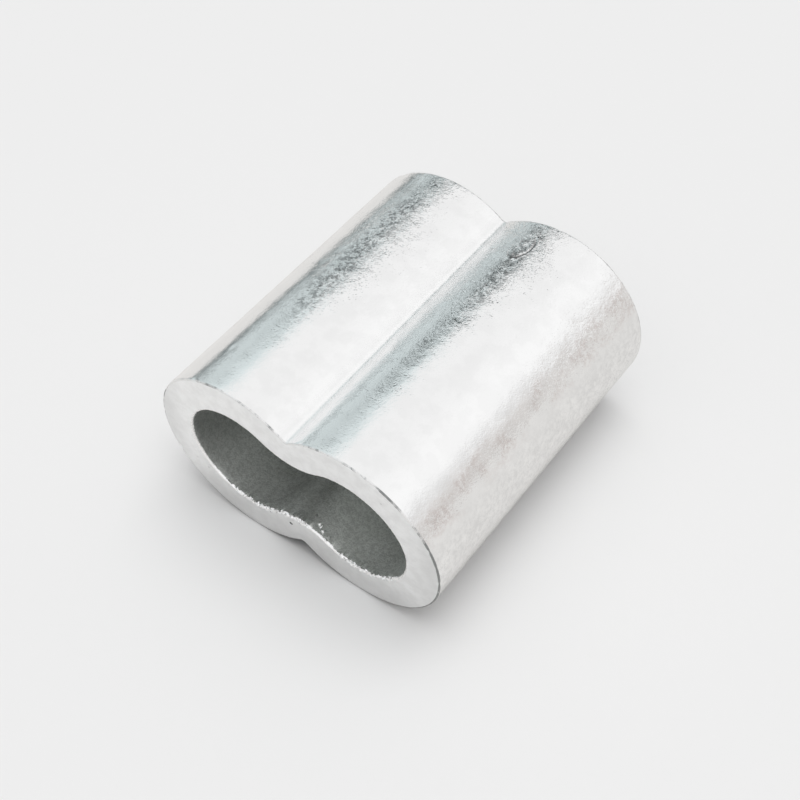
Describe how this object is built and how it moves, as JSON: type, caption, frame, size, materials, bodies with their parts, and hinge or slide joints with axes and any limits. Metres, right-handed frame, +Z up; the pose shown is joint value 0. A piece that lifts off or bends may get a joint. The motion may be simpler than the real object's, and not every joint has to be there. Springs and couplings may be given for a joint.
{
  "type": "hourglass wire rope ferrule",
  "caption": "Uncrimped aluminium crimping sleeve with an hourglass section, whose joined channels take a wire rope and its returning end side by side.",
  "frame": {"origin": "on the surface the sleeve lies on, under the middle of its length and width", "axes": "+Y along the rope channels, +X across the two channels, +Z up from the surface it lies on"},
  "size_m": [0.0192, 0.02, 0.0117],
  "materials": {
    "sleeve_aluminium": "bright tumbled skin, matte sawn ends"
  },
  "bodies": {
    "root": {"ferrule_sleeve": "sleeve_aluminium"}
  },
  "joints": []
}
